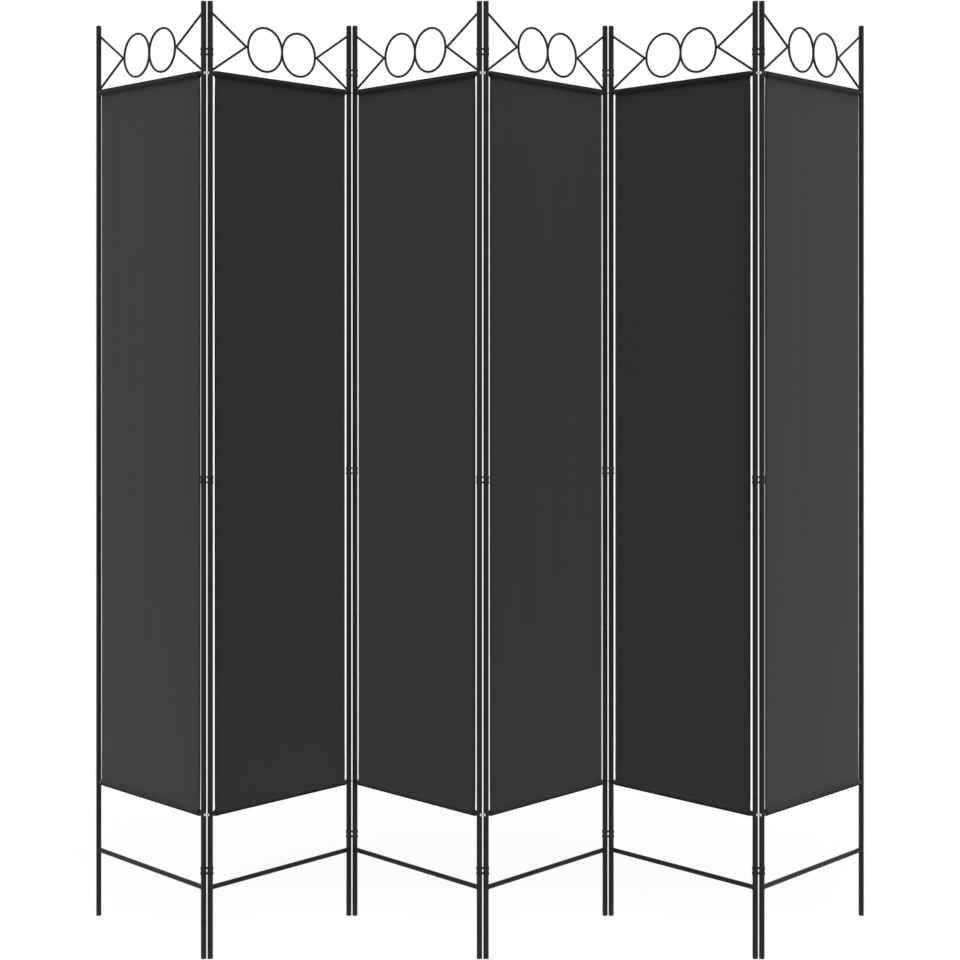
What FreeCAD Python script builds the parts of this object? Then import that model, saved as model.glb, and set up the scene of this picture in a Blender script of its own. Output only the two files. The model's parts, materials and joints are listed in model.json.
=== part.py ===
"""Folding screen: six fabric panels in steel tube frames, joined by snap-on hinge clips.

Millimetres, +Z up. The origin is on the floor under the middle of the screen, which stands
in a zigzag along X: odd panels come forward (towards -Y) from left to right, even ones go back.
Each panel is drawn in its own frame, with the left post's axis on Z and the right post's axis
at X = POST_SPACING, and is then turned and moved to its place.
"""

import FreeCAD, Part
import math
import os

from FreeCAD import Rotation, Vector

# Whole screen
PANEL_COUNT = 6
SCREEN_HEIGHT = 2000.0
POST_SPACING = 388.0  # between the axes of one panel's two posts
REST_ANGLE = 45.0  # degrees from the row to each panel, as photographed
TUBE_GAP = 2.4  # between the two tubes at a fold
MOVING_GAP = 0.3  # least air between parts that fold past each other

# Tubes and wire
POST_DIAMETER = 11.4
POST_WALL = 1.0
RAIL_DIAMETER = 10.0
RAIL_WALL = 1.0
WIRE_DIAMETER = 5.0
WELD_GAP = 0.05  # a welded or pressed joint, drawn as a hairline

# Heights of the rails and of the crest, from the floor or down from the top
TOP_RAIL_DROP = 150.0
BOTTOM_RAIL_HEIGHT = 301.0
FOOT_RAIL_HEIGHT = 148.0
RING_DROP = 83.5
RING_DIAMETER = 93.7  # of the wire's centreline
BRACE_RISE = 59.2  # from the rings' centres to where a brace's axis meets the post's face
BRACE_SETBACK = 2.0  # from a ring's outside to the point where two braces' axes meet

# Fabric panel with a sleeve round each rail
FABRIC_SIDE_GAP = 6.1  # from a post's face to the fabric's edge
FABRIC_THICKNESS = 0.8
SLEEVE_EASE = 0.3  # air between rail and sleeve
SLEEVE_TAIL = 4.0  # from the rail's face to the seam
HEM_DEPTH = 12.0  # doubled cloth beyond the seam

# Hinge clips: two C-shaped bands on each post, open away from the fold's inside
TOP_CLIP_DROP = 105.2
MIDDLE_CLIP_SHARE = 0.5  # of the screen's height
LOWER_CLIP_HEIGHT = 183.0
BAND_HEIGHT = 4.8
BAND_SPACING = 11.2
CLIP_RUNNING_GAP = 0.06
CLIP_WAIST_WALL = 0.35
CLIP_MOUTH_ANGLE = 100.0  # degrees
BRIDGE_HEIGHT = 2.9
BRIDGE_WIDTH = 6.0
BRIDGE_REACH = 5.0  # towards the fold's inside
BRIDGE_BACK = 1.5  # towards its outside
NECK_WIDTH = 3.0  # between the posts, where a clip is only as high as its webs

# Rail screws and the threaded plugs that they pull on
SCREW_DIAMETER = 4.0
SCREW_HOLE_CLEARANCE = 0.2
SCREW_HEAD_DIAMETER = 6.8
SCREW_GRIP = 10.0  # thread held in the plug
SOCKET_WIDTH = 2.5  # across the flats of the hexagonal recess
SOCKET_DEPTH = 1.6
PLUG_LENGTH = 15.0
PLUG_INSET = 0.5  # from the post's face to the plug

# Plastic end caps, above and below each post
CAP_HEAD_HEIGHT = 3.0
CAP_STEM_LENGTH = 12.0
CAP_EDGE_RADIUS = 0.6

CUT_OVERRUN = 20.0  # how far every cutting shape runs past what it cuts

# Worked out from the above
post_radius = POST_DIAMETER / 2
rail_radius = RAIL_DIAMETER / 2
wire_radius = WIRE_DIAMETER / 2
ring_radius = RING_DIAMETER / 2
hinge_pitch = POST_DIAMETER + TUBE_GAP
moving_reach = (hinge_pitch - MOVING_GAP) / 2  # how far a part on a post may stand from its axis
top_rail_height = SCREEN_HEIGHT - TOP_RAIL_DROP
ring_height = SCREEN_HEIGHT - RING_DROP
panel_middle = POST_SPACING / 2
panel_run = POST_SPACING * math.cos(math.radians(REST_ANGLE))
panel_depth = POST_SPACING * math.sin(math.radians(REST_ANGLE))
clip_heights = (
    SCREEN_HEIGHT - TOP_CLIP_DROP,
    SCREEN_HEIGHT * MIDDLE_CLIP_SHARE,
    LOWER_CLIP_HEIGHT,
)

UP = Vector(0, 0, 1)
RIGHT = Vector(1, 0, 0)


def rod(radius, start, end):
    """A round bar between two points on its axis."""
    along = end - start
    return Part.makeCylinder(radius, along.Length, start, along)


def tube(radius, wall, start, end):
    """A round tube between two points on its axis."""
    along = (end - start).normalize() * CUT_OVERRUN
    return rod(radius, start, end).cut(rod(radius - wall, start - along, end + along))


def post_space(x):
    """The room that a post takes at x, with the hairline of a welded joint round it."""
    top = SCREEN_HEIGHT + CUT_OVERRUN
    return rod(post_radius + WELD_GAP, Vector(x, 0, -CUT_OVERRUN), Vector(x, 0, top))


def mirrored(shape):
    """The same piece on the panel's other side."""
    return shape.mirror(Vector(panel_middle, 0, 0), RIGHT)


def left_post():
    """A tube from cap to cap, cross-drilled for the screws of the top and bottom rails."""
    post = tube(post_radius, POST_WALL, UP * CAP_HEAD_HEIGHT, UP * (SCREEN_HEIGHT - CAP_HEAD_HEIGHT))
    for height in (top_rail_height, BOTTOM_RAIL_HEIGHT):
        reach = RIGHT * (post_radius + CUT_OVERRUN)
        drill = SCREW_DIAMETER / 2 + SCREW_HOLE_CLEARANCE
        post = post.cut(rod(drill, UP * height - reach, UP * height + reach))
    return post


def rail(height):
    """A tube between the posts, with its ends hollowed to fit them."""
    bar = tube(rail_radius, RAIL_WALL, UP * height, UP * height + RIGHT * POST_SPACING)
    return bar.cut(post_space(0)).cut(post_space(POST_SPACING))


def screwed_rail(height):
    """A rail with a threaded plug pressed into each end."""
    start = UP * height + RIGHT * (post_radius + PLUG_INSET)
    end = start + RIGHT * PLUG_LENGTH
    overrun = RIGHT * CUT_OVERRUN
    thread = rod(SCREW_DIAMETER / 2 + WELD_GAP, start - overrun, end + overrun)
    plug = rod(rail_radius - RAIL_WALL - WELD_GAP, start, end).cut(thread)
    return Part.makeCompound([rail(height), plug, mirrored(plug)])


def key_socket(at):
    """The hexagonal recess for the key, from outside a screw's head to its depth in the crown."""
    crown = at - RIGHT * moving_reach
    start = crown - RIGHT * CUT_OVERRUN
    to_corner = UP * (SOCKET_WIDTH / 2 / math.cos(math.pi / 6))
    corners = [start + Rotation(RIGHT, 60 * side).multVec(to_corner) for side in range(6)]
    outline = Part.Face(Part.makePolygon(corners + corners[:1]))
    return outline.extrude(crown + RIGHT * SOCKET_DEPTH - start)


def rail_screw(height):
    """A low domed screw through the left post into a rail's plug, its head hollowed to fit the post."""
    head_radius = SCREW_HEAD_DIAMETER / 2
    rim = math.sqrt(moving_reach**2 - head_radius**2)
    crown = moving_reach - rim
    dome_radius = (head_radius**2 + crown**2) / (2 * crown)
    at = UP * height
    head = rod(head_radius, at - RIGHT * moving_reach, at)
    head = head.common(Part.makeSphere(dome_radius, at - RIGHT * (moving_reach - dome_radius)))
    head = head.cut(post_space(0))
    in_head = at - RIGHT * (post_radius + moving_reach) / 2
    in_plug = at + RIGHT * (post_radius + PLUG_INSET + SCREW_GRIP)
    shank = rod(SCREW_DIAMETER / 2, in_head, in_plug)
    return head.fuse(shank).removeSplitter().cut(key_socket(at))


def rail_screws():
    """The four screws that hold the top and bottom rails."""
    left = [rail_screw(height) for height in (top_rail_height, BOTTOM_RAIL_HEIGHT)]
    return Part.makeCompound(left + [mirrored(screw) for screw in left])


def foot_cap():
    """A plastic foot: a round head as wide as the post and a stem inside it."""
    head = Part.makeCylinder(post_radius, CAP_HEAD_HEIGHT)
    bottom_edge = [edge for edge in head.Edges if edge.BoundBox.ZMax < CAP_HEAD_HEIGHT / 2]
    head = head.makeFillet(CAP_EDGE_RADIUS, bottom_edge)
    stem_radius = post_radius - POST_WALL - WELD_GAP
    stem_top = CAP_HEAD_HEIGHT + CAP_STEM_LENGTH
    return head.fuse(rod(stem_radius, UP * (CAP_HEAD_HEIGHT / 2), UP * stem_top))


def end_caps():
    """A foot under each post and the same cap, upside down, on top of it."""
    foot = foot_cap()
    top = foot.mirror(UP * (SCREEN_HEIGHT / 2), UP)
    return Part.makeCompound([foot, top, mirrored(foot), mirrored(top)])


def ring_shape(radius):
    """A full ring in the left ring's place, from a wire of this radius."""
    centre = Vector(panel_middle - ring_radius, 0, ring_height)
    return Part.makeTorus(ring_radius, radius, centre, Vector(0, 1, 0))


def left_ring():
    """The left ring, ground flat where it meets the right one so that they share one wire's width."""
    size = ring_radius + wire_radius + CUT_OVERRUN
    corner = Vector(panel_middle - WELD_GAP / 2, -size, ring_height - size)
    return ring_shape(wire_radius).cut(Part.makeBox(size, 2 * size, 2 * size, corner))


def brace(side):
    """A straight wire from the left post to the left ring, above (side 1) or below it (side -1)."""
    meeting = Vector(panel_middle - 2 * ring_radius - wire_radius - BRACE_SETBACK, 0, ring_height)
    at_post = Vector(post_radius, 0, ring_height + side * BRACE_RISE)
    along = meeting - at_post
    start = at_post - along * (post_radius / along.x)
    wire = rod(wire_radius, start, meeting + along.normalize() * CUT_OVERRUN)
    size = POST_SPACING
    mitre = Part.makeBox(2 * size, 2 * size, size, Vector(-size, -size, 0))
    if side > 0:
        mitre.translate(Vector(0, 0, -size))
    mitre.translate(UP * (ring_height + side * WELD_GAP / 2))
    centre = Vector(panel_middle - ring_radius, 0, ring_height)
    hub_space = rod(ring_radius, centre - Vector(0, size, 0), centre + Vector(0, size, 0))
    rail_start = UP * top_rail_height
    rail_space = rod(rail_radius + WELD_GAP, rail_start, rail_start + RIGHT * POST_SPACING)
    ring_space = ring_shape(wire_radius + WELD_GAP)
    for space in (mitre, ring_space, hub_space, rail_space, post_space(0)):
        wire = wire.cut(space)
    return wire


def crest():
    """Two rings side by side, held to the posts by a V of braces on each side."""
    left = [left_ring(), brace(1), brace(-1)]
    return Part.makeCompound(left + [mirrored(piece) for piece in left])


def tangent_point(centre, radius, point):
    """Where a line from a point touches a circle, on the circle's +Y side."""
    away = point - centre
    turn = math.acos(radius / away.Length)
    if away.z < 0:
        turn = -turn
    return centre + Rotation(RIGHT, -math.degrees(turn)).multVec(away.normalize() * radius)


def sleeve_sides(rail_height, radius, seam):
    """The tangent points of a sleeve's outline: its left side, its far end and its right side."""
    centre = UP * rail_height
    right = tangent_point(centre, radius, seam)
    left = Vector(0, -right.y, right.z)
    outward = 1 if rail_height > seam.z else -1
    return left, centre + UP * (outward * radius), right


def loop(points_and_arcs):
    """A closed wire from straight runs, and arcs given as three points."""
    edges = []
    last = points_and_arcs[-1]
    here = last[2] if isinstance(last, tuple) else last
    for item in points_and_arcs:
        start = item[0] if isinstance(item, tuple) else item
        if (start - here).Length > 0:
            edges.append(Part.LineSegment(here, start).toShape())
        if isinstance(item, tuple):
            edges.append(Part.Arc(*item).toShape())
            start = item[2]
        here = start
    return Part.Wire(edges)


def fabric():
    """Flat cloth between the posts, with a sewn sleeve round the top and the bottom rail."""
    sheet_half = FABRIC_THICKNESS / 2
    bore = rail_radius + SLEEVE_EASE
    outside = bore + FABRIC_THICKNESS
    top_seam = top_rail_height - rail_radius - SLEEVE_TAIL
    bottom_seam = BOTTOM_RAIL_HEIGHT + rail_radius + SLEEVE_TAIL
    top = sleeve_sides(top_rail_height, outside, Vector(0, FABRIC_THICKNESS, top_seam))
    bottom = sleeve_sides(BOTTOM_RAIL_HEIGHT, outside, Vector(0, FABRIC_THICKNESS, bottom_seam))
    right_side = [
        Vector(0, FABRIC_THICKNESS, top_seam),
        Vector(0, FABRIC_THICKNESS, top_seam - HEM_DEPTH),
        Vector(0, sheet_half, top_seam - HEM_DEPTH),
        Vector(0, sheet_half, bottom_seam + HEM_DEPTH),
        Vector(0, FABRIC_THICKNESS, bottom_seam + HEM_DEPTH),
        Vector(0, FABRIC_THICKNESS, bottom_seam),
    ]
    left_side = [Vector(0, -point.y, point.z) for point in reversed(right_side)]
    outline = loop([top] + right_side + [bottom[::-1]] + left_side)
    top_bore = loop([sleeve_sides(top_rail_height, bore, UP * top_seam), UP * top_seam])
    bottom_bore = loop([sleeve_sides(BOTTOM_RAIL_HEIGHT, bore, UP * bottom_seam), UP * bottom_seam])
    section = Part.Face(outline).cut(Part.Face(top_bore)).cut(Part.Face(bottom_bore))
    edge = post_radius + FABRIC_SIDE_GAP
    section.translate(RIGHT * edge)
    return section.extrude(RIGHT * (POST_SPACING - 2 * edge))


def c_band(outer_radius, low, high, x):
    """A C round a post at x, open towards -Y."""
    centre = Vector(x, 0, 0)
    inner_radius = post_radius + CLIP_RUNNING_GAP
    band = tube(outer_radius, outer_radius - inner_radius, centre + UP * low, centre + UP * high)
    half_mouth = math.radians(CLIP_MOUTH_ANGLE / 2)
    reach = (outer_radius + CUT_OVERRUN) / math.cos(half_mouth)
    side = Vector(reach * math.sin(half_mouth), -reach * math.cos(half_mouth), 0)
    corners = [centre, centre + side, centre + Vector(-side.x, side.y, 0), centre]
    mouth = Part.Face(Part.makePolygon([corner + UP * (low - CUT_OVERRUN) for corner in corners]))
    return band.cut(mouth.extrude(UP * (high - low + 2 * CUT_OVERRUN)))


def bridge(low, high):
    """The web between two Cs, hollowed to clear both posts."""
    corner = Vector(-BRIDGE_WIDTH / 2, -BRIDGE_BACK, low)
    web = Part.makeBox(BRIDGE_WIDTH, BRIDGE_BACK + BRIDGE_REACH, high - low, corner)
    for x in (-hinge_pitch / 2, hinge_pitch / 2):
        start = Vector(x, 0, low - CUT_OVERRUN)
        end = Vector(x, 0, high + CUT_OVERRUN)
        web = web.cut(rod(post_radius + CLIP_RUNNING_GAP, start, end))
    return web


def neck_opening(low, high):
    """What is cut from the Cs between the posts, above, between and below the webs."""
    corner = Vector(-NECK_WIDTH / 2, -hinge_pitch, low)
    return Part.makeBox(NECK_WIDTH, 2 * hinge_pitch, high - low, corner)


def hinge_clip():
    """One clip about its own middle height, with the two post axes on the X axis."""
    waist_radius = post_radius + CLIP_RUNNING_GAP + CLIP_WAIST_WALL
    waist_end = (BAND_SPACING - BAND_HEIGHT) / 2
    band_end = (BAND_SPACING + BAND_HEIGHT) / 2
    web_start = (BAND_SPACING - BRIDGE_HEIGHT) / 2
    web_end = (BAND_SPACING + BRIDGE_HEIGHT) / 2
    clear_end = band_end + CUT_OVERRUN
    bands = [(-band_end, -waist_end), (waist_end, band_end)]
    webs = [(-web_end, -web_start), (web_start, web_end)]
    openings = [(-clear_end, -web_end), (-web_start, web_start), (web_end, clear_end)]
    pieces = []
    for x in (-hinge_pitch / 2, hinge_pitch / 2):
        pieces += [c_band(moving_reach, low, high, x) for low, high in bands]
        pieces.append(c_band(waist_radius, -waist_end, waist_end, x))
    holders = pieces[0].multiFuse(pieces[1:])
    holders = holders.cut([neck_opening(low, high) for low, high in openings])
    return holders.multiFuse([bridge(low, high) for low, high in webs]).removeSplitter()


def place_panel(shape, number):
    """Turns a panel's piece to its angle and moves it to its place in the row."""
    forward = number % 2 == 1
    row_length = PANEL_COUNT * panel_run + (PANEL_COUNT - 1) * hinge_pitch
    x = (number - 1) * (panel_run + hinge_pitch) - row_length / 2
    y = panel_depth / 2 if forward else -panel_depth / 2
    angle = -REST_ANGLE if forward else REST_ANGLE
    place = FreeCAD.Placement(Vector(x, y, 0), Rotation(UP, angle))
    placed = shape.copy()
    placed.Placement = place.multiply(placed.Placement)
    return placed


def place_clips(clip, number):
    """Three clips on the fold between panels number and number + 1, with their webs inside the fold."""
    forward = number % 2 == 1
    x = (number - PANEL_COUNT / 2) * (panel_run + hinge_pitch)
    y = -panel_depth / 2 if forward else panel_depth / 2
    clips = []
    for height in clip_heights:
        placed = clip.copy()
        placed.Placement = FreeCAD.Placement(Vector(x, y, height), Rotation(UP, 0 if forward else 180))
        clips.append(placed)
    return Part.makeCompound(clips)


def panel_pieces():
    """Every node of one panel, in the panel's own frame."""
    post = left_post()
    return {
        "left_post": post,
        "right_post": mirrored(post),
        "top_rail": screwed_rail(top_rail_height),
        "bottom_rail": screwed_rail(BOTTOM_RAIL_HEIGHT),
        "foot_rail": rail(FOOT_RAIL_HEIGHT),
        "crest": crest(),
        "fabric": fabric(),
        "rail_screws": rail_screws(),
        "end_caps": end_caps(),
    }


def main():
    os.makedirs("parts", exist_ok=True)
    pieces = panel_pieces()
    clip = hinge_clip()
    for number in range(1, PANEL_COUNT + 1):
        for name, shape in pieces.items():
            place_panel(shape, number).exportStep(f"parts/panel_{number}_{name}.step")
    for number in range(1, PANEL_COUNT):
        place_clips(clip, number).exportStep(f"parts/hinge_clips_{number}.step")


main()
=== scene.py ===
"""Folding screen: sewn cloth, weld beads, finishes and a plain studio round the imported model.

Metres, +Z up. Each panel is drawn in its own frame, with the left post's axis on Z, X towards the
right post and -Y to the side that the photograph shows, and is then moved to its place.
"""

import json
import math
import random

import bpy
from bpy.props import FloatProperty, FloatVectorProperty, IntProperty, PointerProperty
from bpy.types import Operator, Panel, PropertyGroup
from mathutils import Matrix, Vector
from mathutils.geometry import interpolate_bezier

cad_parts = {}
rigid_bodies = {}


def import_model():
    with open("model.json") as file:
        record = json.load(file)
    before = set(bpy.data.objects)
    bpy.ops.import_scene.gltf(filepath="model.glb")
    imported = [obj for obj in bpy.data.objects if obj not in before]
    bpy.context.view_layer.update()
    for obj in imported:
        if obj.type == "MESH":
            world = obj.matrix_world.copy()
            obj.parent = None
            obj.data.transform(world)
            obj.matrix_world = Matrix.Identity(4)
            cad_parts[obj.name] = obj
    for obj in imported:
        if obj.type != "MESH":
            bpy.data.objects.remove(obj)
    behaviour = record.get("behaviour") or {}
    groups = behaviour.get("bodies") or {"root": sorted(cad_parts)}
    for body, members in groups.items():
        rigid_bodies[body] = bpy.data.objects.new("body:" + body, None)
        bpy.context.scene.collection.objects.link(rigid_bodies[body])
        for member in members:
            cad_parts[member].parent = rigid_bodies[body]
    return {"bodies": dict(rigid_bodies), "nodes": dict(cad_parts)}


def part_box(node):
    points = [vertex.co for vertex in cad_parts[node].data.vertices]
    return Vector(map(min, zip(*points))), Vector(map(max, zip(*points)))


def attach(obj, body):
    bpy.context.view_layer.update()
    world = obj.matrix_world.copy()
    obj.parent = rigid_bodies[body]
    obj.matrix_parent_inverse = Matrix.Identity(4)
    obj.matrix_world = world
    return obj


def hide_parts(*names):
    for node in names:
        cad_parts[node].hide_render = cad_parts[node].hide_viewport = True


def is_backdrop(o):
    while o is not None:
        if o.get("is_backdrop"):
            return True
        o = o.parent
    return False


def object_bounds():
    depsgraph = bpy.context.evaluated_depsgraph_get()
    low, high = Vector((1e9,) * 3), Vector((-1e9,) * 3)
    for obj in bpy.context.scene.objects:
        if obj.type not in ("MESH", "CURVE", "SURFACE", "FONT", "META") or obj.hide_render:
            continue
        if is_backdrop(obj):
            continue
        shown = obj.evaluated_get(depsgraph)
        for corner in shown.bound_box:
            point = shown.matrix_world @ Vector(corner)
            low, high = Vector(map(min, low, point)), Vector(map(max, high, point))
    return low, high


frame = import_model()
cad_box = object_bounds()

bl_info = {
    "name": "Folding screen",
    "version": (1, 0, 0),
    "blender": (4, 5, 0),
    "location": "3D View > Sidebar > Screen",
    "description": "Sewn cloth, weld beads, finishes and a studio for a folding screen",
    "category": "Object",
}

MM = 0.001
UP = Vector((0, 0, 1))
CLOTH_SEED, BEAD_SEED = 100, 200


def middle(node):
    """The centre of a node's box."""
    low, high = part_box(node)
    return (low + high) / 2


def height_of(node):
    """A node's height from its lowest to its highest point."""
    low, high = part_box(node)
    return high.z - low.z


PANELS = range(1, 1 + sum(body.startswith("panel_") for body in frame["bodies"]))
POST_RADIUS = (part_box("panel_1_left_post")[1].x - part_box("panel_1_left_post")[0].x) / 2
RAIL_RADIUS = height_of("panel_1_foot_rail") / 2
TOP_RAIL = middle("panel_1_top_rail").z
BOTTOM_RAIL = middle("panel_1_bottom_rail").z
FOOT_RAIL = middle("panel_1_foot_rail").z
SPACING = (middle("panel_1_right_post") - middle("panel_1_left_post")).to_2d().length


def panel_frame(number):
    """The matrix from a panel's own frame to the row's."""
    left, right = (middle(f"panel_{number}_{side}_post") for side in ("left", "right"))
    across = (right - left).normalized()
    place = Matrix((across, UP.cross(across), UP)).transposed().to_4x4()
    place.translation = (left.x, left.y, 0)
    return place


# Sizes and colours


class ClothSizes(PropertyGroup):
    """The cloth between the posts, its sleeves and its hems."""

    thickness: FloatProperty(
        name="Thickness", description="One layer of cloth", default=0.76 * MM, unit="LENGTH"
    )
    side_gap: FloatProperty(
        name="Side gap", description="From a post to the cloth's edge", default=6.1 * MM, unit="LENGTH"
    )
    ease: FloatProperty(
        name="Sleeve ease", description="Air between a rail and its sleeve", default=0.32 * MM,
        unit="LENGTH",
    )
    tail: FloatProperty(
        name="Sleeve tail", description="From a rail's face to the sleeve's seam", default=4 * MM,
        unit="LENGTH",
    )
    hem: FloatProperty(
        name="Hem", description="Doubled cloth beyond a sleeve's seam", default=12 * MM, unit="LENGTH"
    )
    side_hem: FloatProperty(
        name="Side hem", description="Width of the folded side edges", default=8 * MM, unit="LENGTH"
    )
    wave: FloatProperty(
        name="Waves", description="Height of the slow waves in the stretched cloth",
        default=0.35 * MM, unit="LENGTH",
    )
    pucker: FloatProperty(
        name="Puckers", description="Height of the gathers beside the seams", default=0.14 * MM,
        unit="LENGTH",
    )
    columns: IntProperty(name="Columns", description="Faces across one cloth", default=96, min=8)
    nap: FloatProperty(name="Nap", description="Sheen of the cloth's fuzz", default=0.228, min=0, max=1)
    # Painted shade: the share of the sheen left on the outer half of each sleeve roll, which darkens the
    # rolls.
    sleeve_shade_nap: FloatProperty(
        name="Shaded nap", description="Share of the nap that is left on the outside of the sleeves",
        default=0.1, min=0, max=1,
    )


class ThreadSizes(PropertyGroup):
    """The stitches of the hems and sleeves."""

    length: FloatProperty(
        name="Stitch", description="Length of one stitch", default=3.2 * MM, unit="LENGTH"
    )
    gap: FloatProperty(
        name="Gap", description="From one stitch to the next", default=0.8 * MM, unit="LENGTH"
    )
    diameter: FloatProperty(
        name="Thread", description="Thickness of the thread", default=0.5 * MM, unit="LENGTH"
    )


class CrestSizes(PropertyGroup):
    """The rings and braces above the top rail, as the solids have them."""

    wire: FloatProperty(
        name="Wire", description="Radius of the wire", default=2.5 * MM, unit="LENGTH"
    )
    ring: FloatProperty(
        name="Ring", description="Radius of a ring, to the middle of its wire", default=46.85 * MM,
        unit="LENGTH",
    )
    height: FloatProperty(
        name="Height", description="From the floor to the rings' centres", default=1.9165,
        unit="LENGTH",
    )
    rise: FloatProperty(
        name="Brace rise", description="From the rings' centres to a brace's end at its post",
        default=59.2 * MM, unit="LENGTH",
    )
    setback: FloatProperty(
        name="Setback", description="From a ring to the point where two braces' axes meet",
        default=2 * MM, unit="LENGTH",
    )


class WeldSizes(PropertyGroup):
    """The beads where tubes and wires are welded."""

    rail_bead: FloatProperty(
        name="Foot rail bead", description="Radius of the bead round a foot rail's end",
        default=0.95 * MM, unit="LENGTH",
    )
    wire_bead: FloatProperty(
        name="Wire bead", description="Radius of the beads of the crest", default=0.7 * MM,
        unit="LENGTH",
    )
    ripple: FloatProperty(
        name="Ripple", description="How much a bead's thickness varies", default=0.2, min=0, max=1
    )


class Colours(PropertyGroup):
    """The colours of the finishes, as written."""

    cloth: FloatVectorProperty(
        name="Cloth", description="Dyed polyester", default=(0.0095, 0.0095, 0.0095), subtype="COLOR"
    )
    thread: FloatVectorProperty(
        name="Thread", description="Sewing thread", default=(0.02, 0.02, 0.021), subtype="COLOR"
    )
    coat: FloatVectorProperty(
        name="Powder coat", description="Satin black coat on tubes and wires",
        default=(0.0095, 0.0095, 0.0098), subtype="COLOR",
    )
    zinc: FloatVectorProperty(
        name="Zinc", description="Plated screws", default=(0.76, 0.76, 0.75), subtype="COLOR"
    )
    cap: FloatVectorProperty(
        name="Caps", description="Moulded feet and caps", default=(0.012, 0.012, 0.0125),
        subtype="COLOR",
    )
    clip: FloatVectorProperty(
        name="Clips", description="Moulded hinge clips", default=(0.014, 0.014, 0.0145),
        subtype="COLOR",
    )


class StudioSizes(PropertyGroup):
    """The camera, the lamps and the floor."""

    lens: FloatProperty(name="Lens", description="Focal length in millimetres", default=64.28)
    eye: FloatVectorProperty(
        name="Camera", description="Where the camera stands", default=(-0.0797, -3.719, 1.2696),
        subtype="TRANSLATION", unit="LENGTH",
    )
    shift: FloatVectorProperty(
        name="Shift", description="How far the lens is shifted, in frame widths", size=2,
        default=(0.0369, -0.1346),
    )
    key: FloatProperty(
        name="Key light", description="Strength of the light from the front right", default=2.0
    )
    fill: FloatProperty(
        name="Fill light", description="Strength of the light from the front left", default=1.58
    )
    rear: FloatProperty(
        name="Rear light", description="Strength of the low light from behind", default=1.6
    )
    sky: FloatProperty(
        name="Sky", description="Strength of the light from all round", default=0.27, min=0, max=1
    )
    shadow: FloatProperty(
        name="Shadow", description="How much of the floor's shadow shows", default=0.06, min=0, max=1
    )


# Shaders

WHITE = (1.0, 1.0, 1.0, 1.0)


class Signal:
    """One output of a shader node, with the arithmetic that adds nodes behind it."""

    def __init__(self, shading, node, output=0):
        self.shading = shading
        self.node = node
        self.socket = node.outputs[output] if node.outputs else None

    def __getitem__(self, output):
        return Signal(self.shading, self.node, output)

    def math(self, operation, *values):
        return self.shading.node(
            "ShaderNodeMath", {"operation": operation}, dict(enumerate((self,) + values))
        )

    def __add__(self, other):
        return self.math("ADD", other)

    def __sub__(self, other):
        return self.math("SUBTRACT", other)

    def __rsub__(self, other):
        return self.math("MULTIPLY", -1.0).math("ADD", other)

    def __mul__(self, other):
        return self.math("MULTIPLY", other)

    def __truediv__(self, other):
        return self.math("DIVIDE", other)

    __radd__ = __add__
    __rmul__ = __mul__

    def clamped(self):
        return self.shading.node("ShaderNodeClamp", {}, {"Value": self})


class Shading:
    """A node tree that grows by one method."""

    def __init__(self, tree):
        self.tree = tree
        tree.nodes.clear()

    def node(self, kind, settings, inputs):
        """Adds a node: its settings first, then the values or links of its sockets."""
        node = self.tree.nodes.new(kind)
        for name, value in settings.items():
            setattr(node, name, value)
        for name, value in inputs.items():
            if isinstance(value, Signal):
                self.tree.links.new(value.socket, node.inputs[name])
            else:
                node.inputs[name].default_value = value
        return Signal(self, node)

    def noise(self, vector, scale, detail=2.0):
        """Smooth random values round 0.5."""
        return self.node(
            "ShaderNodeTexNoise", {}, {"Vector": vector, "Scale": scale, "Detail": detail}
        )["Fac"]

    def stretched(self, vector, factors):
        """A vector whose parts are each multiplied by a factor."""
        return self.node("ShaderNodeVectorMath", {"operation": "MULTIPLY"}, {0: vector, 1: factors})

    def blend(self, factor, first, second):
        """A colour between two colours."""
        return self.node(
            "ShaderNodeMix", {"data_type": "RGBA"}, {0: factor, 6: first, 7: second}
        )[2]

    def relief(self, height, distance, strength):
        """The normal of a surface that stands up to this distance proud."""
        return self.node(
            "ShaderNodeBump", {}, {"Height": height, "Distance": distance, "Strength": strength}
        )


def tint(colour, share):
    """A colour times a share, as a shader takes it."""
    return tuple(channel * share for channel in colour) + (1.0,)


def new_finish(name):
    """A material with an empty tree, and the tree's shading."""
    material = bpy.data.materials.new(name)
    material.use_nodes = True
    return material, Shading(material.node_tree)


def close_finish(shading, sockets):
    """Ends a material's tree in its surface."""
    surface = shading.node("ShaderNodeBsdfPrincipled", {}, sockets)
    shading.node("ShaderNodeOutputMaterial", {}, {"Surface": surface})


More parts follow.
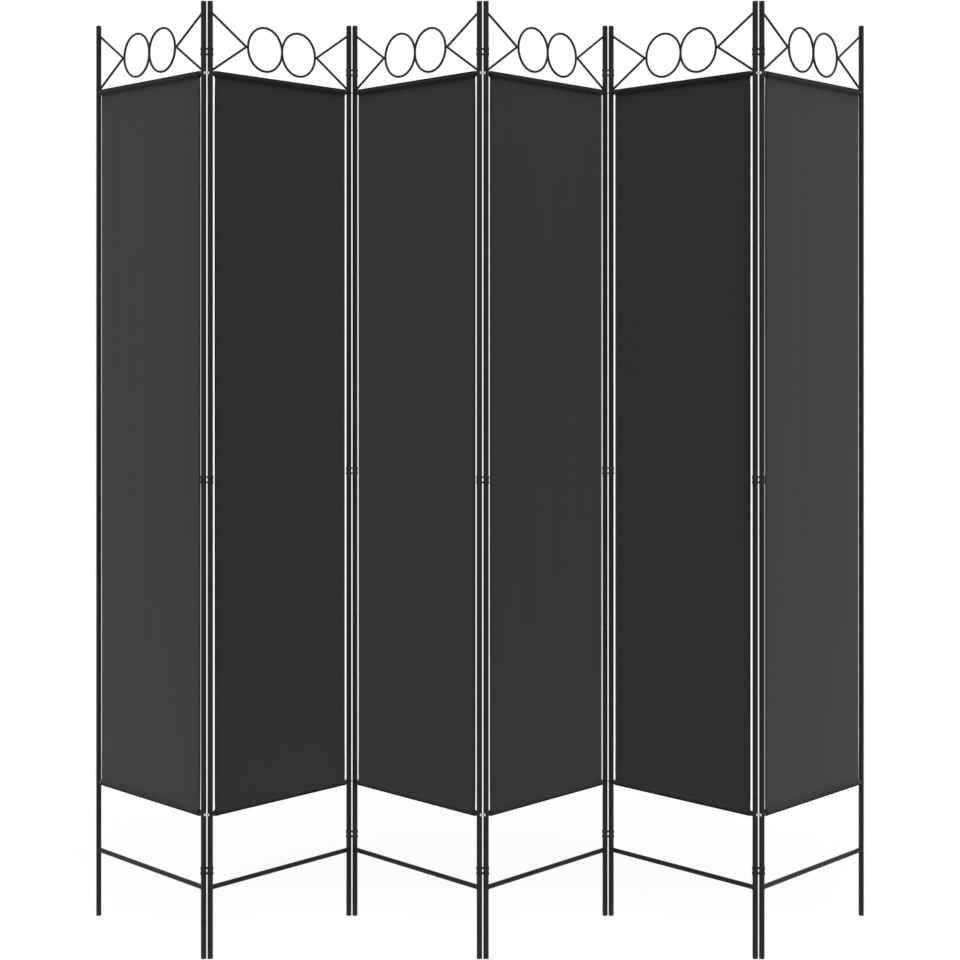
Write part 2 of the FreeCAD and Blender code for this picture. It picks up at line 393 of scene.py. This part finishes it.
def cloth_finish(name, colour, nap):
    """Plain-woven polyester: round threads that pass over and under, a few thicker than the rest.

    nap is how much fuzz stands on it: the weight of its sheen, and with it of its gloss.
    """
    material, shading = new_finish(name)
    spread = shading.node("ShaderNodeUVMap", {"uv_map": "cloth"}, {})
    place = shading.node("ShaderNodeSeparateXYZ", {}, {"Vector": spread})
    thread_pitch = 1.1 * MM
    slubs_along, slubs_across = 9.0, 420.0
    gloss = 0.35
    warp_turn = place["X"] * (math.pi / thread_pitch)
    weft_turn = place["Y"] * (math.pi / thread_pitch)
    warp, weft = warp_turn.math("SINE"), weft_turn.math("SINE")
    over = warp * weft * 0.5 + 0.5
    weave = warp.math("ABSOLUTE") * over + weft.math("ABSOLUTE") * (1.0 - over)
    weft_slub = shading.noise(shading.stretched(spread, (slubs_along, slubs_across, 1.0)), scale=1.0)
    warp_slub = shading.noise(shading.stretched(spread, (slubs_across, slubs_along, 1.0)), scale=1.0)
    patch = shading.noise(spread, scale=3.5, detail=1.0)
    shade = weft_slub * 0.3 + warp_slub * 0.3 + weave * 0.2 + patch * 0.2
    close_finish(
        shading,
        {
            "Base Color": shading.blend(shade.clamped(), tint(colour, 0.8), tint(colour, 1.2)),
            "Roughness": 0.74 + weave * 0.12,
            "Specular IOR Level": gloss * nap,
            "Sheen Weight": nap,
            "Sheen Roughness": 0.6,
            "Sheen Tint": WHITE,
            "Normal": shading.relief(weave + weft_slub * 0.5, distance=0.12 * MM, strength=0.45),
        },
    )
    return material


def thread_finish(colour):
    """Twisted polyester thread."""
    material, shading = new_finish("sewing thread")
    place = shading.node("ShaderNodeTexCoord", {}, {})["Object"]
    twist = shading.noise(place, scale=2200.0, detail=1.0)
    close_finish(
        shading,
        {
            "Base Color": shading.blend(twist, tint(colour, 0.75), tint(colour, 1.3)),
            "Roughness": 0.62,
            "Specular IOR Level": 0.35,
            "Normal": shading.relief(twist, distance=0.1 * MM, strength=0.4),
        },
    )
    return material


def coat_finish(colour):
    """Satin powder coat: a fine orange peel, and rubbed, dusty patches near the feet."""
    material, shading = new_finish("powder coat")
    place = shading.node("ShaderNodeTexCoord", {}, {})["Object"]
    height = shading.node("ShaderNodeSeparateXYZ", {}, {"Vector": place})["Z"]
    peel = shading.noise(place, scale=850.0)
    patch = shading.noise(place, scale=38.0, detail=3.0)
    rub_height, rub_start, rub_contrast = 90 * MM, 0.3, 2.5
    scuffs = shading.noise(place, scale=160.0, detail=4.0)
    rubbed = (1.0 - height / rub_height).clamped() * scuffs
    worn = ((rubbed - rub_start) * rub_contrast).clamped()
    fresh = shading.blend(patch, tint(colour, 0.85), tint(colour, 1.15))
    close_finish(
        shading,
        {
            "Base Color": shading.blend(worn, fresh, tint(colour, 2.6)),
            "Roughness": 0.4 + patch * 0.12 + worn * 0.2,
            "Specular IOR Level": 0.22,
            "Normal": shading.relief(peel, distance=0.12 * MM, strength=0.25),
        },
    )
    return material


def zinc_finish(colour):
    """Zinc-plated steel, dulled in patches."""
    material, shading = new_finish("zinc plate")
    place = shading.node("ShaderNodeTexCoord", {}, {})["Object"]
    spangle = shading.noise(place, scale=900.0, detail=3.0)
    dull = shading.noise(place, scale=250.0)
    close_finish(
        shading,
        {
            "Base Color": shading.blend(dull, tint(colour, 0.8), tint(colour, 1.1)),
            "Metallic": 1.0,
            "Roughness": 0.26 + spangle * 0.2,
            "Normal": shading.relief(spangle, distance=0.05 * MM, strength=0.25),
        },
    )
    return material


def plastic_finish(name, colour, grain, roughness):
    """Moulded plastic with a fine spark-eroded grain."""
    material, shading = new_finish(name)
    place = shading.node("ShaderNodeTexCoord", {}, {})["Object"]
    fine = shading.noise(place, scale=grain, detail=3.0)
    flow = shading.noise(place, scale=70.0)
    close_finish(
        shading,
        {
            "Base Color": shading.blend(flow, tint(colour, 0.85), tint(colour, 1.2)),
            "Roughness": roughness + fine * 0.15,
            "Specular IOR Level": 0.3,
            "Normal": shading.relief(fine, distance=0.1 * MM, strength=0.3),
        },
    )
    return material


def coat_nodes(names, material):
    """Gives CAD nodes their finish."""
    for name in names:
        slots = frame["nodes"][name].material_slots
        if not slots:
            raise RuntimeError(f"{name} has no material slot")
        for slot in slots:
            slot.material = material


# Making meshes


def add_piece(context, name, points, faces, number, material, spread=None):
    """A smooth mesh in a panel's own frame that rides on that panel. spread gives each point's place
    on the flat cloth."""
    mesh = bpy.data.meshes.new(name)
    mesh.from_pydata(points, [], faces)
    if spread:
        places = mesh.uv_layers.new(name="cloth").data
        for loop in mesh.loops:
            places[loop.index].uv = spread[loop.vertex_index]
    mesh.transform(panel_frame(number))
    mesh.shade_smooth()
    mesh.materials.append(material)
    piece = bpy.data.objects.new(name, mesh)
    context.scene.collection.objects.link(piece)
    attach(piece, f"panel_{number}")
    return piece


def strip_faces(rows, columns, closed=False):
    """Faces between rows of points; closed joins each row's last point to its first."""
    across = columns if closed else columns - 1
    return [
        (
            row * columns + column,
            row * columns + (column + 1) % columns,
            (row + 1) * columns + (column + 1) % columns,
            (row + 1) * columns + column,
        )
        for row in range(rows - 1)
        for column in range(across)
    ]


def shares(count):
    """Numbers from 0 to 1 in even steps, both ends among them."""
    return [step / count for step in range(count + 1)]


# Cloth

# Slow waves, as length and share of the height, and lengths of the gathers beside the seams
WAVES = ((0.21, 0.5), (0.13, 0.3), (0.074, 0.2))
PUCKERS = (8.3 * MM, 11.7 * MM, 17.0 * MM)
WAVE_SCALE, PUCKER_SCALE = (0.85, 1.15), (0.9, 1.1)  # how much their lengths vary
WAVE_LEAN = (-2.0, 2.0)  # how far a wave shifts with height, in radians a metre
WAVE_RISE = 60 * MM  # how far beyond a hem the waves reach their full height
PUCKER_FADE = 9 * MM  # how far beyond a seam the gathers fade
PUCKER_RISE = 1.5 * MM  # how far beyond a seam they begin


class Hang:
    """How one panel's cloth stands: straight, with slow waves and puckers beside its seams."""

    def __init__(self, number, cloth):
        chance = random.Random(CLOTH_SEED + number)
        self.cloth = cloth
        self.seam = RAIL_RADIUS + cloth.tail
        self.waves = [
            (
                length * chance.uniform(*WAVE_SCALE),
                size,
                chance.uniform(0, math.tau),
                chance.uniform(*WAVE_LEAN),
            )
            for length, size in WAVES
        ]
        self.puckers = [
            (length * chance.uniform(*PUCKER_SCALE), chance.uniform(0, math.tau)) for length in PUCKERS
        ]

    def beyond_seam(self, z):
        """How far a height is from the nearer seam, towards the middle of the panel."""
        return min(TOP_RAIL - self.seam - z, z - BOTTOM_RAIL - self.seam)

    def back(self, x, z):
        """How far the cloth's middle stands behind the posts' plane."""
        half = self.cloth.thickness / 2
        beyond = self.beyond_seam(z)
        if beyond < 0:
            return 0.0
        free = min(max((beyond - self.cloth.hem) / WAVE_RISE, 0.0), 1.0)
        free = free * free * (3 - 2 * free)
        slow = sum(
            size * math.sin(math.tau * x / length + turn + lean * z)
            for length, size, turn, lean in self.waves
        )
        fast = sum(math.sin(math.tau * x / length + turn) for length, turn in self.puckers)
        fast /= len(self.puckers)
        gather = math.exp(-((beyond / PUCKER_FADE) ** 2)) * min(beyond / PUCKER_RISE, 1.0)
        return self.cloth.wave * slow * free + self.cloth.pucker * fast * gather + half * free

    def front_face(self, x, z):
        """Where the front of the cloth is."""
        return self.back(x, z) - self.cloth.thickness

    def back_face(self, x, z):
        """Where the back of the doubled cloth of a hem is."""
        return self.back(x, z) + self.cloth.thickness


def sleeve_profile(cloth):
    """Points (y, h) from the hem's cut end behind the cloth, round a rail, to the hem's end in front.

    h is the distance from the rail's axis towards the middle of the panel.
    """
    half = cloth.thickness / 2
    seam = RAIL_RADIUS + cloth.tail
    radius = RAIL_RADIUS + cloth.ease + half
    lift = math.radians(50)
    pull = 2.2 * MM
    hem_steps, curve_points, arc_steps = 5, 7, 15
    touch = Vector((radius * math.sin(lift), radius * math.cos(lift)))
    leaving = Vector((-math.cos(lift), math.sin(lift))) * pull
    hem = [Vector((half, seam + cloth.hem * (1 - share))) for share in shares(hem_steps)]
    seam_end, seam_pull = Vector((half, seam)), Vector((half, seam - pull))
    curve = interpolate_bezier(seam_end, seam_pull, touch + leaving, touch, curve_points)
    behind = hem + curve[1:]
    turns = [lift + (math.tau - 2 * lift) * step / arc_steps for step in range(1, arc_steps)]
    round_rail = [Vector((radius * math.sin(turn), radius * math.cos(turn))) for turn in turns]
    in_front = [Vector((-point.x, point.y)) for point in reversed(behind)]
    return behind + round_rail + in_front


def cloth_rows(cloth):
    """Points (y, z) of the whole sheet's middle line, from one cut end to the other."""
    profile = sleeve_profile(cloth)
    ends = RAIL_RADIUS + cloth.tail + cloth.hem
    half = cloth.thickness / 2
    high, low = TOP_RAIL - ends, BOTTOM_RAIL + ends
    from_hem = [distance * MM for distance in (4, 9, 15, 22, 31, 42, 60, 85)]
    near_top = [high - distance for distance in from_hem]
    near_bottom = [low + distance for distance in reversed(from_hem)]
    field_rows = 30
    span = near_top[-1] - near_bottom[0]
    field = [near_top[-1] - span * step / field_rows for step in range(1, field_rows)]
    return (
        [(y, TOP_RAIL - h) for y, h in profile]
        + [(-half, z) for z in near_top + field + near_bottom]
        + [(y, BOTTOM_RAIL + h) for y, h in reversed(profile)]
    )


def edge_roll(cloth):
    """Radius of the rounded edge where the cloth folds back into its side hem."""
    return cloth.thickness


class SCREEN_OT_cloth(Operator):
    """Stretch a cloth between the rails of every panel, with a sleeve round each rail"""

    bl_idname = "screen.cloth"
    bl_label = "Cloth"

    def execute(self, context):
        cloth = context.scene.screen_cloth
        colour = context.scene.screen_colours.cloth
        # Copies of the cloth with less and less sheen: painted shade on the outer half of each sleeve
        # roll, graded from the front of the rail outward.
        grades = 4
        finishes = [
            cloth_finish(f"cloth pressed {grade}", colour, cloth.nap * (1 - (1 - cloth.sleeve_shade_nap) * share))
            for grade, share in enumerate(shares(grades))
        ]
        rows = cloth_rows(cloth)
        edge = POST_RADIUS + cloth.side_gap
        low, high = edge + edge_roll(cloth), SPACING - edge - edge_roll(cloth)
        columns = [low + (high - low) * share for share in shares(cloth.columns)]
        lengths = [0.0]
        for (y, z), (last_y, last_z) in zip(rows[1:], rows):
            lengths.append(lengths[-1] + math.hypot(y - last_y, z - last_z))
        for number in PANELS:
            hang = Hang(number, cloth)
            points, spread = [], []
            for (y, z), length in zip(rows, lengths):
                points += [(x, y + hang.back(x, z), z) for x in columns]
                spread += [(x, length) for x in columns]
            faces = strip_faces(len(rows), len(columns))
            piece = add_piece(
                context, f"panel_{number}_cloth", points, faces, number, finishes[0], spread
            )
            for finish in finishes[1:]:
                piece.data.materials.append(finish)
            # Painted shade: faces on a sleeve's outside get the duller copies.
            for face in piece.data.polygons:
                heights = [rows[corner // len(columns)][1] for corner in face.vertices]
                face.material_index = round(grades * self.sleeve_shading(sum(heights) / len(heights)))
            layer = piece.modifiers.new("layer", "SOLIDIFY")
            layer.thickness = cloth.thickness
            layer.offset = 0
            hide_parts(f"panel_{number}_fabric")
            lengths[-1]
        return {"FINISHED"}

    def sleeve_shading(self, height):
        """How much painted shade, as lost sheen, falls on a sleeve's cloth: from 0 in front of its rail
        to 1 on its outside.
        """
        reach = 4 * MM
        outward = max(height - TOP_RAIL, BOTTOM_RAIL - height)
        return min(max((outward + reach) / (2 * reach), 0.0), 1.0)


class SCREEN_OT_side_hems(Operator):
    """Fold the side edges of every cloth back into narrow hems"""

    bl_idname = "screen.side_hems"
    bl_label = "Side hems"

    def execute(self, context):
        cloth = context.scene.screen_cloth
        material = cloth_finish("hemmed cloth", context.scene.screen_colours.cloth, cloth.nap)
        edge = POST_RADIUS + cloth.side_gap
        clearance, steps = 0.3 * MM, 44
        ends = RAIL_RADIUS + cloth.tail + cloth.hem + clearance
        length = TOP_RAIL - BOTTOM_RAIL - 2 * ends
        heights = [BOTTOM_RAIL + ends + length * share for share in shares(steps)]
        for number in PANELS:
            hang = Hang(number, cloth)
            points, faces, spread = [], [], []
            for side in (0, 1):
                first = len(points)
                for z in heights:
                    section = self.section(cloth, hang, edge, side, z)
                    points += [(x, y, z) for x, y in section]
                    spread += [(x, z) for x, y in section]
                size = len(section)
                faces += [
                    tuple(first + corner for corner in (face if side else reversed(face)))
                    for face in strip_faces(len(heights), size, closed=True)
                ]
                low_end = tuple(range(first, first + size))
                high_end = tuple(range(len(points) - size, len(points)))
                faces += [low_end[::-1], high_end] if side else [low_end, high_end[::-1]]
            add_piece(
                context, f"panel_{number}_side_hems", points, faces, number, material, spread
            )
        return {"FINISHED"}

    def section(self, cloth, hang, edge, side, z):
        """The closed outline of a side hem at one height."""
        roll = edge_roll(cloth)
        inner, outer = edge + cloth.side_hem, edge + roll
        middle_y = hang.back(SPACING * side + outer * (1 - 2 * side), z)
        proud = 0.03 * MM
        flattened = 0.92
        outline = [
            (inner, middle_y),
            (inner, middle_y + cloth.thickness * flattened),
            (outer, middle_y + cloth.thickness),
        ]
        front = middle_y - cloth.thickness - proud
        centre = (front + middle_y + cloth.thickness) / 2
        rise = middle_y + cloth.thickness - centre
        for turn in (45, 90, 135, 180):
            angle = math.radians(turn)
            outline.append((outer - roll * math.sin(angle), centre + rise * math.cos(angle)))
        outline.append((outer + roll, middle_y - cloth.thickness / 2))
        return [(SPACING - x if side else x, y) for x, y in outline]


class SCREEN_OT_stitches(Operator):
    """Sew the sleeves and side hems, on both faces of every cloth"""

    bl_idname = "screen.stitches"
    bl_label = "Stitches"

    def execute(self, context):
        cloth, thread = context.scene.screen_cloth, context.scene.screen_thread
        material = thread_finish(context.scene.screen_colours.thread)
        for number in PANELS:
            hang = Hang(number, cloth)
            points, faces = [], []
            for start, end, outward in self.lines(cloth, thread, hang):
                self.sew(points, faces, start, end, outward, thread)
            add_piece(
                context, f"panel_{number}_stitches", points, faces, number, material
            )
        return {"FINISHED"}

    def lines(self, cloth, thread, hang):
        """Stretches of one stitch each: start, end and the way that the thread stands out."""
        edge = POST_RADIUS + cloth.side_gap
        seam = RAIL_RADIUS + cloth.tail
        from_seam, from_hem_end, from_side, from_hem = 1.6 * MM, 2.0 * MM, 1.5 * MM, 1.0 * MM
        stitch = thread.length
        step = stitch + thread.gap
        start = edge + from_side
        count = int((SPACING - 2 * start) / step)
        for h in (seam + from_seam, seam + cloth.hem - from_hem_end):
            for z in (TOP_RAIL - h, BOTTOM_RAIL + h):
                for x in (start + step * number for number in range(count)):
                    yield from self.both_faces(hang, (x, z), (x + stitch, z))
        reach = seam + cloth.hem + from_hem
        count = int((TOP_RAIL - BOTTOM_RAIL - 2 * reach) / step)
        aside = edge + cloth.side_hem - from_seam
        for x in (aside, SPACING - aside):
            for z in (BOTTOM_RAIL + reach + step * number for number in range(count)):
                yield from self.both_faces(hang, (x, z), (x, z + stitch))

    def both_faces(self, hang, *ends):
        """One stitch on the front of the cloth and one on its back."""
        for face, outward in ((hang.front_face, -1), (hang.back_face, 1)):
            yield [Vector((x, face(x, z), z)) for x, z in ends] + [Vector((0, outward, 0))]

    def sew(self, points, faces, start, end, outward, thread):
        """One stitch: a thread that rises from the cloth and goes back into it."""
        radius = thread.diameter / 2
        sunk_share = 0.6
        along = (end - start).normalized()
        aside = along.cross(outward)
        first = len(points)
        sunk = outward * (radius * sunk_share)
        points += [start - sunk, end - sunk]
        centre = (start + end) / 2
        ways = (outward, aside, -outward, -aside)
        points += [centre + way * radius for way in ways]
        ring = [first + 2 + corner for corner in range(len(ways))]
        for here, after in zip(ring, ring[1:] + ring[:1]):
            faces += [(first, here, after), (first + 1, after, here)]


# Weld beads

SADDLE_POINTS, TIP_POINTS, RING_POINTS = 24, 16, 32
BEAD_SIDES = 6


def saddle(at, along, wire, side):
    """The loop in which a wire or tube of this radius meets a post's face. side 1 is the right post."""
    across = Vector((-along.z, 0, along.x))
    loop = []
    for step in range(SADDLE_POINTS):
        turn = math.tau * step / SADDLE_POINTS
        point = at + across * (wire * math.cos(turn)) + Vector((0, wire * math.sin(turn), 0))
        face = math.sqrt(POST_RADIUS**2 - point.y**2)
        point = point + along * ((face - point.x) / along.x)
        loop.append(Vector((SPACING - point.x, point.y, point.z)) if side else point)
    return loop


def lay_bead(points, faces, loop, radius, ripple, chance):
    """Sweeps a closed bead of varying thickness along a loop."""
    first = len(points)
    centre = sum(loop, Vector()) / len(loop)
    swell = [1 + ripple * chance.uniform(-1, 1) for _ in loop]
    for step, point in enumerate(loop):
        along = (loop[(step + 1) % len(loop)] - loop[step - 1]).normalized()
        outward = point - centre
        outward = (outward - along * outward.dot(along)).normalized()
        aside = along.cross(outward)
        for side in range(BEAD_SIDES):
            turn = math.tau * side / BEAD_SIDES
            way = outward * math.cos(turn) + aside * math.sin(turn)
            points.append(point + way * (radius * swell[step]))
    count = len(loop)
    for step in range(count):
        here, there = first + step * BEAD_SIDES, first + (step + 1) % count * BEAD_SIDES
        for side in range(BEAD_SIDES):
            after = (side + 1) % BEAD_SIDES
            faces.append((here + side, there + side, there + after, here + after))


class SCREEN_OT_welds(Operator):
    """Lay weld beads where the foot rails, braces and rings are joined"""

    bl_idname = "screen.welds"
    bl_label = "Weld beads"

    def execute(self, context):
        sizes = context.scene.screen_welds
        material = coat_finish(context.scene.screen_colours.coat)
        for number in PANELS:
            chance = random.Random(BEAD_SEED + number)
            points, faces = [], []
            for loop, radius in self.loops(context.scene.screen_crest, sizes):
                lay_bead(points, faces, loop, radius, sizes.ripple, chance)
            add_piece(
                context, f"panel_{number}_weld_beads", points, faces, number, material
            )
        return {"FINISHED"}

    def loops(self, crest, sizes):
        """Every bead's loop and radius on one panel."""
        meeting = SPACING / 2 - 2 * crest.ring - crest.wire - crest.setback
        for side in (0, 1):
            yield saddle(Vector((0, 0, FOOT_RAIL)), Vector((1, 0, 0)), RAIL_RADIUS, side), sizes.rail_bead
            for way in (1, -1):
                along = Vector((meeting - POST_RADIUS, 0, -way * crest.rise)).normalized()
                at = Vector((POST_RADIUS, 0, crest.height + way * crest.rise))
                yield saddle(at, along, crest.wire, side), sizes.wire_bead
            yield self.tip_loop(side, crest), sizes.wire_bead
        yield self.ring_loop(crest), sizes.wire_bead

    def tip_loop(self, side, crest):
        """The loop in which a V's tip meets its ring."""
        half_width, half_height = 1.9 * MM, 2.1 * MM
        loop = []
        for step in range(TIP_POINTS):
            turn = math.tau * step / TIP_POINTS
            y, z = half_width * math.sin(turn), half_height * math.cos(turn)
            reach = crest.ring + math.sqrt(crest.wire**2 - y**2)
            x = SPACING / 2 - crest.ring - math.sqrt(reach**2 - z**2)
            loop.append(Vector((SPACING - x if side else x, y, crest.height + z)))
        return loop

    def ring_loop(self, crest):
        """The loop in which the two rings meet."""
        half_height = math.sqrt((crest.ring + crest.wire) ** 2 - crest.ring**2)
        loop = []
        for step in range(RING_POINTS):
            turn = math.tau * (step + 0.5) / RING_POINTS
            z = half_height * math.cos(turn)
            y = math.sqrt(max(crest.wire**2 - (math.hypot(crest.ring, z) - crest.ring) ** 2, 0))
            loop.append(Vector((SPACING / 2, math.copysign(y, math.sin(turn)), crest.height + z)))
        return loop


# Finishes of the solids


def nodes_named(*endings):
    """The CAD nodes whose names end in one of these."""
    return [name for name in frame["nodes"] if name.endswith(endings)]


class SCREEN_OT_tubes(Operator):
    """Powder-coat the posts, rails and crests"""

    bl_idname = "screen.tubes"
    bl_label = "Tubes and wires"

    def execute(self, context):
        material = coat_finish(context.scene.screen_colours.coat)
        coat_nodes(nodes_named("_post", "_rail", "_crest"), material)
        return {"FINISHED"}


class SCREEN_OT_screws(Operator):
    """Plate the rail screws with zinc"""

    bl_idname = "screen.screws"
    bl_label = "Rail screws"

    def execute(self, context):
        coat_nodes(nodes_named("_rail_screws"), zinc_finish(context.scene.screen_colours.zinc))
        return {"FINISHED"}


class SCREEN_OT_caps(Operator):
    """Mould the feet and top caps in black plastic"""

    bl_idname = "screen.caps"
    bl_label = "End caps"

    def execute(self, context):
        colour = context.scene.screen_colours.cap
        material = plastic_finish("cap plastic", colour, grain=700.0, roughness=0.5)
        coat_nodes(nodes_named("_end_caps"), material)
        return {"FINISHED"}


class SCREEN_OT_clips(Operator):
    """Mould the hinge clips in tough black plastic"""

    bl_idname = "screen.clips"
    bl_label = "Hinge clips"

    def execute(self, context):
        colour = context.scene.screen_colours.clip
        material = plastic_finish("clip plastic", colour, grain=1100.0, roughness=0.42)
        coat_nodes([name for name in frame["nodes"] if name.startswith("hinge_clips_")], material)
        return {"FINISHED"}


# Studio


def seen(shading):
    """1 for rays from the camera, or from a mirror or glass, and 0 for light on the object."""
    path = shading.node("ShaderNodeLightPath", {}, {})
    total = path["Is Camera Ray"] + path["Is Glossy Ray"] + path["Is Transmission Ray"]
    return total.clamped()


def add_lamp(context, name, azimuth, elevation, softness, strength):
    """A large far lamp. azimuth runs from the front to the right; all three angles are in degrees."""
    lamp = bpy.data.lights.new(name, "SUN")
    lamp.angle = math.radians(softness)
    lamp.energy = strength
    stand = bpy.data.objects.new(name, lamp)
    stand.rotation_euler = (math.radians(90 - elevation), 0, math.radians(azimuth))
    stand.visible_glossy = False
    context.scene.collection.objects.link(stand)


class SCREEN_OT_studio(Operator):
    """Set the floor, the soft lamps, the white backdrop and the camera"""

    bl_idname = "screen.studio"
    bl_label = "Studio"

    def execute(self, context):
        scene = context.scene
        sizes = scene.screen_studio
        self.floor(context, sizes)
        world = bpy.data.worlds.new("backdrop")
        world.use_nodes = True
        shading = Shading(world.node_tree)
        strength = sizes.sky + seen(shading) * (1.0 - sizes.sky)
        sky = shading.node(
            "ShaderNodeBackground", {}, {"Color": WHITE, "Strength": strength}
        )
        shading.node("ShaderNodeOutputWorld", {}, {"Surface": sky})
        scene.world = world
        add_lamp(context, "key", azimuth=28, elevation=50, softness=35, strength=sizes.key)
        add_lamp(context, "fill", azimuth=-28, elevation=50, softness=35, strength=sizes.fill)
        add_lamp(context, "rear", azimuth=170, elevation=25, softness=60, strength=sizes.rear)
        film_width = 36  # millimetres, as the lens
        lens = bpy.data.cameras.new("camera")
        lens.lens, lens.sensor_width = sizes.lens, film_width
        lens.shift_x, lens.shift_y = sizes.shift
        camera = bpy.data.objects.new("camera", lens)
        camera.location = sizes.eye
        camera.rotation_euler = (math.radians(90), 0, 0)
        scene.collection.objects.link(camera)
        scene.camera = camera
        scene.view_settings.view_transform = "Standard"
        return {"FINISHED"}

    def floor(self, context, sizes):
        """A pale floor that fades into the backdrop and keeps a faint shadow."""
        half, drop = 14.0, 0.2 * MM
        plain, shown = tint((1, 1, 1), 0.25), tint((1, 1, 1), 0.88)
        mesh = bpy.data.meshes.new("floor")
        corners = [(-half, -half), (half, -half), (half, half), (-half, half)]
        mesh.from_pydata([(x, y, -drop) for x, y in corners], [], [(0, 1, 2, 3)])
        material, shading = new_finish("floor")
        paint = shading.node(
            "ShaderNodeBsdfPrincipled",
            {},
            {
                "Base Color": shading.blend(seen(shading), plain, shown),
                "Roughness": 0.9,
                "Specular IOR Level": 0.0,
            },
        )
        glow = shading.node("ShaderNodeEmission", {}, {"Color": WHITE, "Strength": 1.0})
        place = shading.node("ShaderNodeTexCoord", {}, {})["Object"]
        distance = shading.node("ShaderNodeVectorMath", {"operation": "LENGTH"}, {0: place})["Value"]
        near, fade = 1.1, 1.4
        far = ((distance - near) / fade).clamped()
        keep = (1.0 - far * far * (3.0 - 2.0 * far)) * sizes.shadow
        factor = seen(shading) * (1.0 - keep)
        both = shading.node("ShaderNodeMixShader", {}, {0: factor, 1: paint, 2: glow})
        shading.node("ShaderNodeOutputMaterial", {}, {"Surface": both})
        mesh.materials.append(material)
        floor = bpy.data.objects.new("floor", mesh)
        context.scene.collection.objects.link(floor)
        floor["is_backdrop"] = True


# Add-on

GROUPS = {
    "screen_cloth": ClothSizes,
    "screen_thread": ThreadSizes,
    "screen_crest": CrestSizes,
    "screen_welds": WeldSizes,
    "screen_colours": Colours,
    "screen_studio": StudioSizes,
}

OPERATORS = (
    SCREEN_OT_side_hems,
    SCREEN_OT_stitches,
    SCREEN_OT_cloth,
    SCREEN_OT_welds,
    SCREEN_OT_tubes,
    SCREEN_OT_screws,
    SCREEN_OT_caps,
    SCREEN_OT_clips,
    SCREEN_OT_studio,
)


class SCREEN_PT_sidebar(Panel):
    """Lists the screen's sizes, colours and operators"""

    bl_idname = "SCREEN_PT_sidebar"
    bl_label = "Folding screen"
    bl_space_type = "VIEW_3D"
    bl_region_type = "UI"
    bl_category = "Screen"

    def draw(self, context):
        for name, group in GROUPS.items():
            box = self.layout.box()
            for size in group.__annotations__:
                box.prop(getattr(context.scene, name), size)
        for operator in OPERATORS:
            self.layout.operator(operator.bl_idname)


CLASSES = (*GROUPS.values(), *OPERATORS, SCREEN_PT_sidebar)


def register():
    for item in CLASSES:
        bpy.utils.register_class(item)
    for name, group in GROUPS.items():
        setattr(bpy.types.Scene, name, PointerProperty(type=group))


def unregister():
    for name in GROUPS:
        delattr(bpy.types.Scene, name)
    for item in reversed(CLASSES):
        bpy.utils.unregister_class(item)


def main():
    register()
    for operator in OPERATORS:
        area, name = operator.bl_idname.split(".")
        getattr(getattr(bpy.ops, area), name)()
    boxes = {"cad": cad_box, "visual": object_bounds()}
    {name: [list(corner) for corner in box] for name, box in boxes.items()}


if __name__ == "__main__":
    main()
